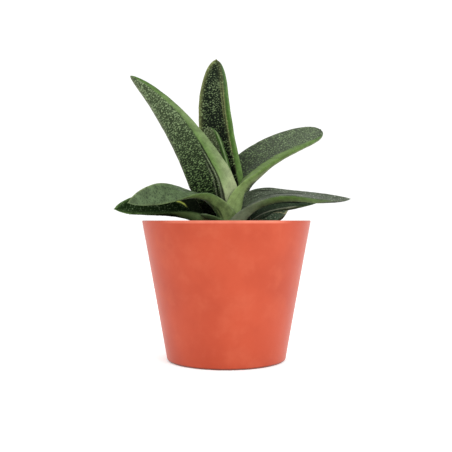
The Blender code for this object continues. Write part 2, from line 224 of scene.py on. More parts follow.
LEAVES = (
    Leaf("leaf_young_centre", "young_leaf", 0.3,
         ((2, 0, 90), (-2.7, 0, 112), (-10.9, 2, 135), (-12.2, 3, 152)),
         100, ((0, -48), (1, -48)), 17.6, (6.5, 4.6), -1.0, 0, 0.75, 0.5, 2.3, 2.2, YOUNG,
         strip_over=((0.0, 1.5), (0.75, 1.2), (0.93, 0.3), (1.0, 0.0)),
         lines=(Line("margin", ((0.5, -1.0), (0.75, -0.9), (0.9, -1.1)), 0.55, 0.1, 1.0, False),)),
    Leaf("leaf_upright_back", "leaf", 0.29,
         ((4, 2, 88), (-1.8, 5, 125), (-16.4, 14, 160), (-7, 18, 199.8)),
         105, ((0, -52), (1, -46)), 23.9, (9, 7.3), -1.0, 2, 0.78, 0.35, 3.2, 2.1, UPRIGHT,
         lines=(Line("margin", ((0, 0.9),), 0.3, 0.4, 0.93, False),
                Line("margin", ((0, 2.6),), 0.3, 0.62, 0.93, False))),
    Leaf("leaf_upper_left", "leaf", 0.29,
         ((2, -4, 90), (-10, -11, 119), (-30, -19, 158.5), (-59.5, -27, 180)),
         205, ((0, 75), (1, 60)), 29.3, (9.5, 8), 0.25, 0, 0.76, 0.3, 0.94, 1.6, UPPER_LEFT, point=0.0,
         strip_cover=((0.0, 1.0), (0.2, 1.0), (0.28, 0.86), (0.42, 0.74), (0.54, 0.6), (0.67, 0.48),
                      (0.8, 0.48), (1.0, 0.6)),
         strip_past=((0.0, 3.0), (0.16, 1.2), (0.2, 0.0)),
         lines=(Line("keel", ((0.1, -2.6), (0.16, -1.2), (0.2, 0.0), (0.28, 1.7), (0.35, 2.2), (0.53, 3.7)),
                     0.45, 0.0, 0.58, True),
                Line("keel", ((0.18, -4.2), (0.25, -1.9), (0.3, -0.6), (0.42, 0.9), (0.5, 1.9)),
                     0.35, 0.0, 0.5, True),
                Line("keel", ((0.17, -2.5), (0.21, -1.2), (0.28, 0.4), (0.42, 1.9)), 0.55, 0.0, 0.5, False),
                Line("keel", ((0.18, -5.4), (0.25, -3.1), (0.3, -1.8), (0.42, -0.2)),
                     0.35, 0.0, 0.45, False))),
    Leaf("leaf_upper_right", "leaf", 0.3,
         ((3.5, -6.5, 88), (-3.5, 2.5, 123.8), (29, 17, 142.6), (65.5, 30, 154)),
         22, ((0.05, 0), (0.45, 27)), 30.4, (17, 4), -0.9, 11, 0.68, 0.6, 3.1, 2.7, UPPER_RIGHT,
         strip_cover=((0.0, 0.7), (0.17, 0.7), (0.25, 0.55), (0.3, 0.6), (0.42, 1.0), (1.0, 1.0)),
         strip_over=((0.0, 13), (0.3, 12), (0.37, 8.5), (0.46, 7), (0.6, 5.5), (0.7, 4.5), (0.8, 3),
                     (1.0, 0))),
    Leaf("leaf_left_broad", "leaf", 0.36,
         ((3, -10, 90), (-8, -16, 112.2), (-29, -31, 112.7), (-58, -44, 101.2)),
         212, ((0.35, 0), (1, -75)), 18, (13.5, 3.4), 0.7, 3.5, 0.72, 0.65, 1.6, 1.7, LEFT_BROAD,
         # The pale line along the margin is a painted highlight on the lit ridge at the neck, and the dark
         # line beside the keel is painted shade in a crease
         lines=(Line("margin", ((0, 0.4),), 0.5, 0.02, 0.35, False),
                Line("keel", ((0.1, 1.6), (0.27, 0.6)), 0.6, 0.1, 0.32, True))),
    Leaf("leaf_right_arching", "leaf", 0.36,
         ((3, -12, 88), (19, -17, 117.2), (45, -19, 105.6), (79, -12, 104.4)),
         -5, ((0.2, 34), (0.6, 16), (1, 30)), 18, (9, 5), -0.7, 8, 0.8, 0.35, 1.7, 1.8, RIGHT_ARCHING,
         strip_cover=((0.0, 1.0), (0.75, 1.0), (0.9, 0.0), (1.0, 0.0)),
         # The first pale line along the margin is a painted highlight on the leaf's upper edge
         lines=(Line("margin", ((0, 0.3),), 0.6, 0.0, 0.42, False),
                Line("margin", ((0.3, 16.5), (0.45, 14.0)), 0.5, 0.31, 0.5, True),
                Line("margin", ((0.2, 10.0), (0.6, 9.0)), 0.45, 0.35, 0.75, True))),
    Leaf("leaf_left_low", "shaded_leaf", 0.36,
         ((-2, -10, 84), (-14, -14, 98), (-45, -19, 105.8), (-70.2, -20, 97.8)),
         195, ((0.25, 0), (0.75, -50)), 17.4, (13.5, 5.1), 0.7, 0, 0.6, 0.68, 2.0, 1.5, LEFT_LOW,
         strip_cover=((0.0, 1.0), (0.42, 1.0), (0.55, 0.0), (0.86, 0.0), (0.94, 1.0), (1.0, 1.0)),
         lines=(Line("keel", ((0, 0.6),), 0.9, 0.55, 1.1, False),)),
    Leaf("leaf_left_shaded", "shaded_leaf", 0.4,
         ((-2, 4, 86), (-12, 8, 104), (-30, 12, 104), (-48, 16, 97)),
         165, ((0, -50), (1, -30)), 17, (6, 5), 0.6, 0, 0.6, 0.5, 2.0, 1.5, PAINTED_INNER_SHADE,
         # The pale line is a painted highlight: the lit crescent of this leaf's front margin
         lines=(Line("margin", ((0.58, 5.6), (0.63, 8.9), (0.7, 11.4), (0.78, 12.9)),
                     0.65, 0.6, 0.84, False),)),
    Leaf("leaf_right_shaded", "shaded_leaf", 0.4,
         ((12, 0, 87), (22, 2, 102), (39, 4, 103), (60, 6, 102.2)),
         5, ((0, 38), (1, 30)), 15.5, (5, 4), -0.6, 3, 0.6, 0.45, 1.6, 1.4, SHADED,
         lines=(Line("margin", ((0.15, 3.5), (0.45, 2.5), (0.64, 0.7), (0.8, 0.4)), 0.7, 0.08, 0.8, False),
                # The wide dark line is painted shadow, cast on the upper face by the arching leaf above it
                Line("margin", ((0.2, 14.0), (0.35, 12.5), (0.53, 11.0), (0.8, 6.0)),
                     1.8, 0.1, 1.2, True))),
    Leaf("leaf_right_old", "old_leaf", 0.33,
         ((14, -8, 83), (23, -10, 89.5), (31, -8, 94), (39.5, -6, 96.8)),
         -20, ((0, 50), (1, 40)), 11.8, (7, 4.5), -0.5, 0, 0.7, 0.5, 1.8, 1.5, OLD,
         # The dark line is painted shadow under the ridge of the right shaded leaf; the pale line near the
         # tip is a dry yellow streak, painted brighter as a highlight
         lines=(Line("margin", ((0.45, 9.7), (0.7, 10.0), (0.9, 4.8)), 0.6, 0.4, 0.98, True),
                Line("margin", ((0.72, 9.5), (0.78, 7.5), (0.84, 4.9), (0.9, 0.6)),
                     0.8, 0.7, 1.05, False))),
    Leaf("leaf_front_small", "leaf", 0.4,
         ((3, -18, 86), (-3, -19, 92), (-10, -21, 95), (-16, -21, 94.5)),
         215, ((0, -10), (1, -10)), 8, (5, 4), 0.5, 0, 0.7, 0.5, 2.0, 1.8, SMALL_FRONT),
)

UPPER, NARROW, BROAD = range(3)  # a leaf's three faces


# Settings that a user would change


def metres(name, description, default, **limits):
    """A length, 0 or more unless its limits say otherwise."""
    return FloatProperty(name=name, description=description, default=default, unit="LENGTH", precision=5,
                         **{"min": 0, **limits})


def linear_rgb(name, description, default):
    """A colour."""
    return FloatVectorProperty(name=name, description=description, default=default, min=0, max=1, size=3,
                               subtype="COLOR")


class GasteriaLeafSettings(bpy.types.PropertyGroup):
    wart_height: metres("Wart Height", "How far the warts stand out of the skin", 0.2 * MM, soft_max=1 * MM)
    groove_depth: metres("Groove Depth", "Depth of the lines beside the keel", 0.25 * MM, soft_max=1 * MM)
    unevenness: metres("Unevenness", "How far the faces swell and sink", 0.5 * MM, soft_max=2 * MM)
    margin_rounding: metres("Margin Rounding", "How far the margins and the keel are rounded off",
                            0.6 * MM, soft_max=2 * MM)
    point_length: metres("Point Length", "Length of the small point at a leaf's tip",
                         0.8 * MM, soft_max=3 * MM)
    roughness: FloatProperty(
        name="Roughness", description="Roughness of the skin between the warts",
        default=0.42, min=0, max=1, subtype="FACTOR")


class GasteriaPotSettings(bpy.types.PropertyGroup):
    base_radius: metres("Base Radius", "Outside radius of the pot at its foot", 38.6 * MM, min=0.01)
    wall: metres("Wall", "Thickness of the pot's wall", 4 * MM, min=0.001)
    floor: metres("Floor", "Thickness of the pot's floor", 5 * MM, min=0.001)
    rim_rounding: metres("Rim Rounding", "Radius of the rim's edges", 0.8 * MM)
    foot_rounding: metres("Foot Rounding", "Radius of the foot's edge", 2 * MM)
    clay: linear_rgb("Clay", "Colour of the clay", (0.44, 0.0635, 0.0245))
    clay_dust: linear_rgb("Clay Bloom", "Colour of the paler, chalky patches", (0.49, 0.101, 0.049))
    clay_damp: linear_rgb("Damp Clay", "Colour of the darker patches", (0.385, 0.05, 0.0183))


class GasteriaSoilSettings(bpy.types.PropertyGroup):
    mound: metres("Mound", "How far the soil rises from the wall to the crown", 11 * MM)
    lumps: metres("Lumps", "Height of the soil's lumps", 2.2 * MM)
    grains: IntProperty(
        name="Grains", description="How many loose grains lie on the soil", default=700, min=0)
    grain_size: metres("Grain Size", "Mean radius of a loose grain", 1.1 * MM)
    soil: linear_rgb("Soil", "Colour of the dry top of the soil", (0.06, 0.038, 0.024))
    soil_dark: linear_rgb("Damp Soil", "Colour of the damp soil between the lumps", (0.014, 0.009, 0.006))


class GasteriaStageSettings(bpy.types.PropertyGroup):
    camera_distance: metres("Camera Distance", "From the pot's axis to the camera", 0.476, min=0.1)
    eye_height: metres("Eye Height", "Height of the camera over the floor", 0.0905)
    lens: FloatProperty(
        name="Lens", description="Focal length of the camera", default=57.8, min=10, unit="CAMERA")
    floor_size: metres("Floor Size", "Side of the square floor", 6.0, min=1)
    surround: FloatProperty(
        name="Surround", description="Brightness of the white surround", default=1.1, min=0)
    key: FloatProperty(
        name="Key Light", description="Power of the large light at the upper right",
        default=8.0, min=0, unit="POWER")


# Small tools

NOISE_START = (31.7, 17.3)  # keeps the noise's lattice lines off a leaf's middle and root


def deselect_all():
    if bpy.context.object and bpy.context.object.mode != "OBJECT":
        bpy.ops.object.mode_set(mode="OBJECT")
    bpy.ops.object.select_all(action="DESELECT")


def only(obj):
    """Makes obj the one selected and active object."""
    deselect_all()
    obj.select_set(True)
    bpy.context.view_layer.objects.active = obj


def named(obj, name):
    obj.name = name
    obj.data.name = name
    return obj


def give_material(obj, made):
    obj.data.materials.clear()
    obj.data.materials.append(made)


def smoothstep(x, low=0.0, high=1.0):
    t = np.clip((x - low) / (high - low), 0, 1)
    return t * t * (3 - 2 * t)


def mesh_points(mesh):
    points = np.zeros(len(mesh.vertices) * 3)
    mesh.vertices.foreach_get("co", points)
    return points.reshape(-1, 3)


def select_by(obj, kind, test):
    """In edit mode, selects only the edges or faces that pass the test."""
    bpy.ops.mesh.select_mode(type=kind)
    bpy.ops.mesh.select_all(action="DESELECT")
    bm = bmesh.from_edit_mesh(obj.data)
    for part in {"EDGE": bm.edges, "FACE": bm.faces}[kind]:
        if test(part):
            part.select_set(True)
    bm.select_flush_mode()
    bmesh.update_edit_mesh(obj.data)


def apply_modifier(obj, kind, **settings):
    """Adds a modifier with these settings and applies it."""
    only(obj)
    change = obj.modifiers.new(kind.lower(), kind)
    for key, value in settings.items():
        setattr(change, key, value)
    bpy.ops.object.modifier_apply(modifier=change.name)


def face_out(obj):
    """Turns the faces of a closed mesh to face out."""
    only(obj)
    bpy.ops.object.mode_set(mode="EDIT")
    bpy.ops.mesh.select_all(action="SELECT")
    bpy.ops.mesh.normals_make_consistent(inside=False)
    bpy.ops.object.mode_set(mode="OBJECT")


def add_float(mesh, name, values):
    """A value for every vertex, which the materials read by this name."""
    layer = mesh.attributes.new(name, "FLOAT", "POINT")
    layer.data.foreach_set("value", np.ascontiguousarray(values, np.float32))


def add_weights(obj, name, values, levels=48):
    """Adds a vertex group with values between 0 and 1, in even steps."""
    group = obj.vertex_groups.new(name=name)
    step = np.round(np.clip(values, 0, 1) * levels).astype(int)
    for level in range(1, levels + 1):
        at = np.flatnonzero(step == level)
        if len(at):
            group.add(at.tolist(), level / levels, "REPLACE")


def soft_noise(u, v, size_u, size_v, seed, cells=64):
    """Smooth random values from 0 to 1 over a plane, with features about that many millimetres across."""
    lattice = np.random.default_rng(seed).random((cells, cells))
    x, y = u / size_u + NOISE_START[0], v / size_v + NOISE_START[1]
    i, j = np.floor(x).astype(int), np.floor(y).astype(int)
    fx, fy = smoothstep(x - i), smoothstep(y - j)
    a, b, c, d = (lattice[(i + right) % cells, (j + up) % cells] for up in (0, 1) for right in (0, 1))
    return (a * (1 - fx) + b * fx) * (1 - fy) + (c * (1 - fx) + d * fx) * fy


# Materials

BLACK = (0, 0, 0, 1)
WHITE = (1, 1, 1, 1)
SKIN_COLOURS = ("Ground", "Ground Tip", "Wart", "Wart Tip", "Strip Root", "Strip", "Strip Tip",
                "Strip Keel", "Edge")
SHADOW_GREEN = (0.003, 0.005, 0.002, 1)  # at the bottom of a groove
GRIME_GREEN = (0.01, 0.016, 0.006, 1)  # fine specks on the smooth strip
RIM_HIGHLIGHT_CLAY = (0.66, 0.19, 0.12, 1)  # painted highlight on the front of the rim's lip
FOOT_SHADOW_CLAY = (0.1, 0.025, 0.012, 1)  # painted contact shadow where the pot stands
BARK_DARK = (0.03, 0.018, 0.012, 1)
BARK_PALE = (0.16, 0.1, 0.055, 1)
PERLITE = (0.7, 0.68, 0.62, 1)
ROOT_DIRT = (0.12, 0.08, 0.05, 1)
ROOT_PALE = (0.55, 0.42, 0.25, 1)
RIM_HIGHLIGHT_FRONT = (-36 * MM, -49 * MM)  # Y over which the painted highlight on the rim's front begins
LIP_HEIGHTS = (88.3 * MM, 89.6 * MM)  # Z over which its lip, and so that painted highlight, begins
FOOT_SHADOW_HEIGHTS = (0.4 * MM, 1.6 * MM)  # Z over which the painted contact shadow at the pot's foot ends
PAPER_GLOW = 0.18  # keeps the paper's shadows pale


def feed(tree, inputs, given):
    """Gives each named input its value, or links it to the socket given for it."""
    for key, value in given.items():
        if isinstance(value, bpy.types.NodeSocket):
            tree.links.new(value, inputs[key])
        else:
            inputs[key].default_value = value


def add_node(tree, kind, inputs=None, **settings):
    """A node of this kind, with its settings and its inputs."""
    node = tree.nodes.new(kind)
    for key, value in settings.items():
        setattr(node, key, value)
    feed(tree, node.inputs, inputs or {})
    return node


def maths(tree, operation, a, b):
    return add_node(tree, "ShaderNodeMath", {0: a, 1: b}, operation=operation).outputs[0]


def multiply(tree, a, b):
    return maths(tree, "MULTIPLY", a, b)


def add(tree, a, b):
    return maths(tree, "ADD", a, b)


def ramp(tree, value, low, high, to_low=0.0, to_high=1.0, ease="SMOOTHSTEP"):
    """Brings value from one range into another."""
    return add_node(tree, "ShaderNodeMapRange", {0: value, 1: low, 2: high, 3: to_low, 4: to_high},
                    interpolation_type=ease).outputs[0]


def blend_colour(tree, factor, a, b, blend_type="MIX"):
    return add_node(tree, "ShaderNodeMix", {0: factor, 6: a, 7: b}, data_type="RGBA",
                    blend_type=blend_type).outputs[2]


def attribute(tree, name):
    return add_node(tree, "ShaderNodeAttribute", attribute_name=name).outputs["Fac"]


def noise_texture(tree, place, scale, detail, roughness=0.5):
    return add_node(tree, "ShaderNodeTexNoise", {"Vector": place, "Scale": scale, "Detail": detail,
                                                 "Roughness": roughness}).outputs["Fac"]


def scaled(tree, place, scale):
    return add_node(tree, "ShaderNodeMapping", {"Vector": place, "Scale": scale}).outputs[0]


def bump(tree, height, distance, strength=1.0):
    return add_node(tree, "ShaderNodeBump",
                    {"Height": height, "Distance": distance, "Strength": strength}).outputs["Normal"]


def rgba(colour):
    return (*colour, 1.0)


def new_group(name, inputs, outputs):
    """An empty shader node group with sockets (name, type, default), and its two end nodes."""
    tree = bpy.data.node_groups.new(name, "ShaderNodeTree")
    for label, kind, default in inputs:
        socket = tree.interface.new_socket(label, in_out="INPUT", socket_type=kind)
        if default is not None:
            socket.default_value = default
    for label, kind in outputs:
        tree.interface.new_socket(label, in_out="OUTPUT", socket_type=kind)
    return tree, tree.nodes.new("NodeGroupInput").outputs, tree.nodes.new("NodeGroupOutput").inputs


def place_group(tree, group, inputs):
    return add_node(tree, "ShaderNodeGroup", inputs, node_tree=group).outputs


def cloud_group():
    """Cloudy mottling between two colours, at one scale."""
    if "Cloudy Mottling" in bpy.data.node_groups:
        return bpy.data.node_groups["Cloudy Mottling"]
    tree, given, out = new_group(
        "Cloudy Mottling",
        (("Vector", "NodeSocketVector", None), ("Scale", "NodeSocketFloat", 40.0),
         ("Low", "NodeSocketFloat", 0.35), ("High", "NodeSocketFloat", 0.65),
         ("Dark", "NodeSocketColor", BLACK), ("Pale", "NodeSocketColor", WHITE)),
        (("Color", "NodeSocketColor"), ("Mask", "NodeSocketFloat")))
    cloud = noise_texture(tree, given["Vector"], given["Scale"], 4.0, 0.55)
    mask = ramp(tree, cloud, given["Low"], given["High"])
    feed(tree, out, {"Color": blend_colour(tree, mask, given["Dark"], given["Pale"]), "Mask": mask})
    return tree


def skin_group():
    """The warty skin of a leaf, from what its mesh says of each point."""
    if "Warty Skin" in bpy.data.node_groups:
        return bpy.data.node_groups["Warty Skin"]
    tree, given, out = new_group(
        "Warty Skin",
        tuple((label, "NodeSocketColor", (0.1, 0.1, 0.1, 1)) for label in SKIN_COLOURS)
        + tuple((label, "NodeSocketFloat", default) for label, default in (
            ("Haze", 0.4), ("Haze Tip", 0.4), ("Streak", 0.0), ("Patchy", 1.0), ("Painted Crown Shade", 0.001),
            ("Edge Amount", 0.6), ("Roughness", 0.45))),
        (("Color", "NodeSocketColor"), ("Roughness", "NodeSocketFloat"), ("Height", "NodeSocketFloat")))
    flat = add_node(tree, "ShaderNodeUVMap", uv_map="skin").outputs["UV"]
    wart, tone, strip, along, edge, density, groove, flank = (
        attribute(tree, name)
        for name in ("wart", "wart_tone", "strip", "along", "edge", "density", "groove", "flank"))
    reach = ramp(tree, along, 0.15, 0.95)

    # Ground: a fine pale mottling that runs across the leaf, thicker where the warts cluster
    ground = blend_colour(tree, reach, given["Ground"], given["Ground Tip"])
    warts = blend_colour(tree, reach, given["Wart"], given["Wart Tip"])
    grains = noise_texture(tree, scaled(tree, flat, (0.72, 1.25, 1.0)), 1.0, 1.0)
    haze = ramp(tree, reach, 0.0, 1.0, given["Haze"], given["Haze Tip"], ease="LINEAR")
    haze = multiply(tree, haze, ramp(tree, density, 0.1, 0.7, 0.4, 1.0))
    low = maths(tree, "SUBTRACT", 0.65, multiply(tree, haze, 0.28))
    grain = ramp(tree, grains, low, add(tree, low, 0.1))
    ground = blend_colour(tree, multiply(tree, grain, 0.9), ground, warts)

    # Long streaks
    lines = noise_texture(tree, scaled(tree, flat, (1.1, 0.07, 1.0)), 1.0, 3.0, 0.6)
    line = ramp(tree, lines, 0.4, 0.65)
    streaked = blend_colour(tree, 0.62, ground, BLACK)
    ground = blend_colour(tree, multiply(tree, line, given["Streak"]), ground, streaked)

    # Warts, each a little paler or darker than the next; towards the root the skin is painted nearly black,
    # as painted shade far down in the crown
    wart_mask = multiply(tree, ramp(tree, wart, 0.12, 0.6), ramp(tree, tone, 0.0, 1.0, 0.45, 1.0))
    skin = blend_colour(tree, wart_mask, ground, warts)
    crown_shade = ramp(tree, along, multiply(tree, given["Painted Crown Shade"], 0.7), given["Painted Crown Shade"], 0.9, 0.0)
    skin = blend_colour(tree, crown_shade, skin, BLACK)

    # The smooth strip, with faint lengthwise lines
    smooth = blend_colour(tree, ramp(tree, along, 0.05, 0.5), given["Strip Root"], given["Strip"])
    smooth = blend_colour(tree, ramp(tree, along, 0.6, 1.0), smooth, given["Strip Tip"])
    keelward = multiply(tree, ramp(tree, flank, 0.1, 0.8), ramp(tree, along, 0.1, 0.4))
    smooth = blend_colour(tree, keelward, smooth, given["Strip Keel"])
    lined = blend_colour(tree, 0.4, smooth, BLACK)
    smooth = blend_colour(tree, multiply(tree, line, 0.3), smooth, lined)
    smooth = blend_colour(tree, multiply(tree, grain, 0.14), smooth, GRIME_GREEN)
    skin = blend_colour(tree, strip, skin, smooth)

    # Margins, grooves, and a cloudy light and dark over all
    edge_mask = multiply(tree, multiply(tree, edge, given["Edge Amount"]),
                         ramp(tree, grain, 0.0, 1.0, 0.7, 1.0))
    skin = blend_colour(tree, edge_mask, skin, given["Edge"])
    skin = blend_colour(tree, multiply(tree, groove, 0.97), skin, SHADOW_GREEN)
    patches = noise_texture(tree, flat, 0.22, 4.0, 0.6)
    patch = add(tree, multiply(tree, ramp(tree, patches, 0.3, 0.7, -0.2, 0.16), given["Patchy"]), 0.93)
    shade = add_node(tree, "ShaderNodeCombineColor", {0: patch, 1: patch, 2: patch}).outputs[0]
    rough = add(tree, given["Roughness"], multiply(tree, wart_mask, 0.1))
    fine = noise_texture(tree, flat, 5.0, 2.0)
    feed(tree, out, {"Color": blend_colour(tree, 1.0, skin, shade, "MULTIPLY"),
                     "Roughness": add(tree, rough, multiply(tree, grain, 0.06)),
                     "Height": add(tree, fine, multiply(tree, wart, 0.6))})
    return tree


def new_material(name, specular, sheen=0.0):
    """An empty node material and its Principled shader."""
    made = bpy.data.materials.new(name)
    made.use_nodes = True
    shader = made.node_tree.nodes["Principled BSDF"].inputs
    feed(made.node_tree, shader,
         {"Specular IOR Level": specular, "Sheen Weight": sheen, "Sheen Roughness": 0.4})
    return made, made.node_tree, shader


def mottled_material(name, specular, sheen=0.0):
    """As new_material, with the object's own coordinates and a function that adds mottling over them."""
    made, tree, shader = new_material(name, specular, sheen)
    place = add_node(tree, "ShaderNodeTexCoord").outputs["Object"]

    def clouds(scale, low, high, dark=BLACK, pale=WHITE):
        return place_group(tree, cloud_group(), {"Vector": place, "Scale": scale, "Low": low, "High": high,
                                                 "Dark": dark, "Pale": pale})

    return made, tree, shader, place, clouds


def leaf_material(leaf):
    look = leaf.look
    made, tree, shader = new_material(leaf.name + "_skin", specular=look.gloss, sheen=look.sheen)
    skin = place_group(tree, skin_group(), {
        **{label: rgba(getattr(look, label.lower().replace(" ", "_"))) for label in SKIN_COLOURS},
        "Haze": look.haze[0], "Haze Tip": look.haze[1], "Streak": look.streak, "Patchy": look.patchy,
        "Painted Crown Shade": look.root_dark, "Edge Amount": look.edge_amount,
        "Roughness": bpy.context.scene.gasteria_leaf.roughness})
    feed(tree, shader, {"Base Color": skin["Color"], "Roughness": skin["Roughness"],
                        "Normal": bump(tree, skin["Height"], 0.06 * MM)})
    return made


def clay_material(settings):
    """Matte fired clay: cloudy, with a chalky bloom, a painted highlight on the front of the lip, a painted
    contact shadow at the foot, and fine grit.
    """
    made, tree, shader, place, clouds = mottled_material("fired_clay", specular=0.2, sheen=0.2)
    body = clouds(28.0, 0.3, 0.7, rgba(settings.clay_damp), rgba(settings.clay))
    bloom = clouds(75.0, 0.45, 0.8)
    colour = blend_colour(tree, multiply(tree, bloom["Mask"], 0.5), body["Color"], rgba(settings.clay_dust))
    parts = add_node(tree, "ShaderNodeSeparateXYZ", {"Vector": place}).outputs
    # Painted highlight: the front of the rim's lip is painted paler, unevenly
    front = ramp(tree, parts["Y"], *RIM_HIGHLIGHT_FRONT)
    highlight_front = multiply(tree, front, ramp(tree, body["Mask"], 0.0, 0.8, 0.5, 0.95))
    lip = multiply(tree, ramp(tree, parts["Z"], *LIP_HEIGHTS), highlight_front)
    colour = blend_colour(tree, lip, colour, RIM_HIGHLIGHT_CLAY)
    # Painted contact shadow: the clay is darkened just above where the pot stands
    foot = ramp(tree, parts["Z"], *FOOT_SHADOW_HEIGHTS, 0.8, 0.0)
    grit = noise_texture(tree, place, 2400.0, 3.0, 0.6)
    feed(tree, shader, {"Base Color": blend_colour(tree, foot, colour, FOOT_SHADOW_CLAY),
                        "Roughness": ramp(tree, bloom["Mask"], 0.0, 1.0, 0.52, 0.66),
                        "Normal": bump(tree, grit, 0.05 * MM, 0.6)})
    return made


def soil_material(settings):
    """Crumbly soil, with damp, dark patches."""
    made, tree, shader, place, clouds = mottled_material("peaty_soil", specular=0.2)
    crumbs = clouds(420.0, 0.4, 0.62, rgba(settings.soil_dark), rgba(settings.soil))
    fibres = add_node(tree, "ShaderNodeTexVoronoi", {"Vector": place, "Scale": 700.0})
    feed(tree, shader, {"Base Color": crumbs["Color"],
                        "Roughness": ramp(tree, crumbs["Mask"], 0.0, 1.0, 0.8, 0.95),
                        "Normal": bump(tree, fibres.outputs["Distance"], 0.5 * MM)})
    return made


def grain_material():
    """Loose grains: mostly bark and grit, some white."""
    made, tree, shader, _, clouds = mottled_material("loose_grains", specular=0.3)
    kind = attribute(tree, "grain_kind")
    brown = blend_colour(tree, ramp(tree, kind, 0.0, 0.7), BARK_DARK, BARK_PALE)
    colour = blend_colour(tree, ramp(tree, kind, 0.78, 0.84), brown, PERLITE)
    speck = clouds(900.0, 0.35, 0.65, (0.6, 0.58, 0.55, 1))
    feed(tree, shader, {"Base Color": blend_colour(tree, 1.0, colour, speck["Color"], "MULTIPLY"),
                        "Roughness": ramp(tree, speck["Mask"], 0.0, 1.0, 0.75, 0.92)})
    return made


def root_material():
    """Pale fleshy roots with soil on them."""
    made, tree, shader, _, clouds = mottled_material("fleshy_root", specular=0.3)
    dirt = clouds(300.0, 0.35, 0.6, ROOT_DIRT, ROOT_PALE)
    feed(tree, shader, {"Base Color": dirt["Color"],
                        "Roughness": ramp(tree, dirt["Mask"], 0.0, 1.0, 0.9, 0.65),
                        "Normal": bump(tree, dirt["Mask"], 0.2 * MM)})
    return made


def floor_material():
    """Plain white paper, very faintly mottled, that glows a little so that its shadows stay pale."""
    made, tree, shader, _, clouds = mottled_material("white_paper", specular=0.2)
    paper = clouds(3.0, 0.3, 0.7, (0.95, 0.95, 0.95, 1), (0.96, 0.96, 0.96, 1))
    feed(tree, shader, {"Base Color": paper["Color"], "Roughness": 0.9, "Emission Color": WHITE,
                        "Emission Strength": PAPER_GLOW})
    return made


# Leaf shapes

ROUTE_STEPS = 4001  # places at which a route is measured
POINT_START = 1.2  # mm, the half width below which the small point grows
SWELLING_START = 4  # mm, the half width from which the faces swell in full
WART_WIDTH = 1.4  # a wart's reach across the leaf, as a share of its reach along it
STRIP_SOFTNESS = 0.3  # mm over which the smooth strip's edge is blurred
LINE_FADE_IN, LINE_FADE_OUT = 0.05, 0.12  # shares of the leaf's length
PALE_LINE = 0.85  # how much of the margin's colour a pale line shows


@dataclass
class Skin:
    """A leaf's surface in mm, by row from root to tip and by column round it from the keel and back."""

    points: np.ndarray
    s: np.ndarray  # each row's place along the leaf
    kind: np.ndarray  # each column's face
    share: np.ndarray  # how far over its face each column lies
    u: np.ndarray  # distance round the leaf, from the middle of its upper face
    v: np.ndarray  # distance along the leaf, from its root


def section_faces(keel):
    """The blade's three faces as points (across, depth), with 0 the upper face and -1 the keel's depth.

    They are given in the order broad flank, upper face, narrow flank, and start and end at the keel.
    """
    side = 1 if keel >= 0 else -1
    k = abs(keel)
    broad = [(k - 0.02, -1.0), (k * 0.5 - 0.25, -0.82), (k * 0.15 - 0.72, -0.42), (-1.0, -0.09)]
    upper = [(-1.0, -0.09), (-0.93, 0.05), (-0.5, 0.0), (0.0, -0.04), (0.5, 0.0), (0.93, 0.05), (1.0, -0.1)]
    narrow = [(1.0, -0.1), ((1 + k) / 2 + 0.03, -0.55), (k + 0.04, -0.95), (k - 0.02, -1.0)]
    return [(kind, np.array(points) * (side, 1))
            for kind, points in ((BROAD, broad), (UPPER, upper), (NARROW, narrow))]


def smooth_through(points, t):
    """Points at t, from 0 to 1 by length, on a curve through the points."""
    ends = np.vstack([2 * points[0] - points[1], points, 2 * points[-1] - points[-2]])
    length = np.concatenate([[0], np.cumsum(np.linalg.norm(np.diff(points, axis=0), axis=1))])
    place = np.interp(t, length / length[-1], np.arange(len(points)))
    i = np.minimum(place.astype(int), len(points) - 2)
    f = (place - i)[:, None]
    a, b, c, d = (ends[i + n] for n in range(4))
    return 0.5 * (2 * b + (c - a) * f + (2 * a - 5 * b + 4 * c - d) * f**2
                  + (3 * b - a - 3 * c + d) * f**3)


def half_share(leaf, s):
    """Share of the leaf's half width at s, from 0 at the root to 1 at the tip."""
    rise = leaf.root_share + (1 - leaf.root_share) * np.sin(np.pi / 2 * np.minimum(s / leaf.widest, 1))
    x = np.clip((s - leaf.widest) / (1 - leaf.widest), 0, 1)
    return np.where(s <= leaf.widest, rise, (1 - x**leaf.taper) ** (1 / leaf.blunt))


def depth(leaf, s):
    """The leaf's thickness at s: swollen at the root, and thinner to the tip."""
    root, blade = leaf.thickness
    thinner_at_tip, holds_out = 0.3, 1.4
    full = blade * (1 - thinner_at_tip * s) + (root - blade) * (1 - s) ** 4
    return full * np.minimum(1, half_share(leaf, s) * holds_out)


def along_route(route, s):
    """Places and directions at every s on a cubic Bezier."""
    a, b, c, d = np.array(route, float)
    s = s[:, None]
    r = 1 - s
    place = r**3 * a + 3 * r * r * s * b + 3 * r * s * s * c + s**3 * d
    ahead = r * r * (b - a) + 2 * r * s * (c - b) + s * s * (d - c)
    return place, ahead / np.linalg.norm(ahead, axis=1, keepdims=True)


def leaf_axes(leaf, s, ahead):
    """Unit vectors across the blade and out of its upper face, square to its route."""
    out = math.radians(leaf.outward)
    side = np.array((-math.sin(out), math.cos(out), 0))
    across = side - ahead * (ahead @ side)[:, None]
    across /= np.linalg.norm(across, axis=1, keepdims=True)
    up = np.cross(ahead, across)
    roll = np.full(len(s), float(leaf.roll[0][1]))
    for (start, before), (end, after) in zip(leaf.roll, leaf.roll[1:]):
        roll += (after - before) * smoothstep(s, start, end)
    roll = np.radians(roll)[:, None]
    return across * np.cos(roll) + up * np.sin(roll), up * np.cos(roll) - across * np.sin(roll)


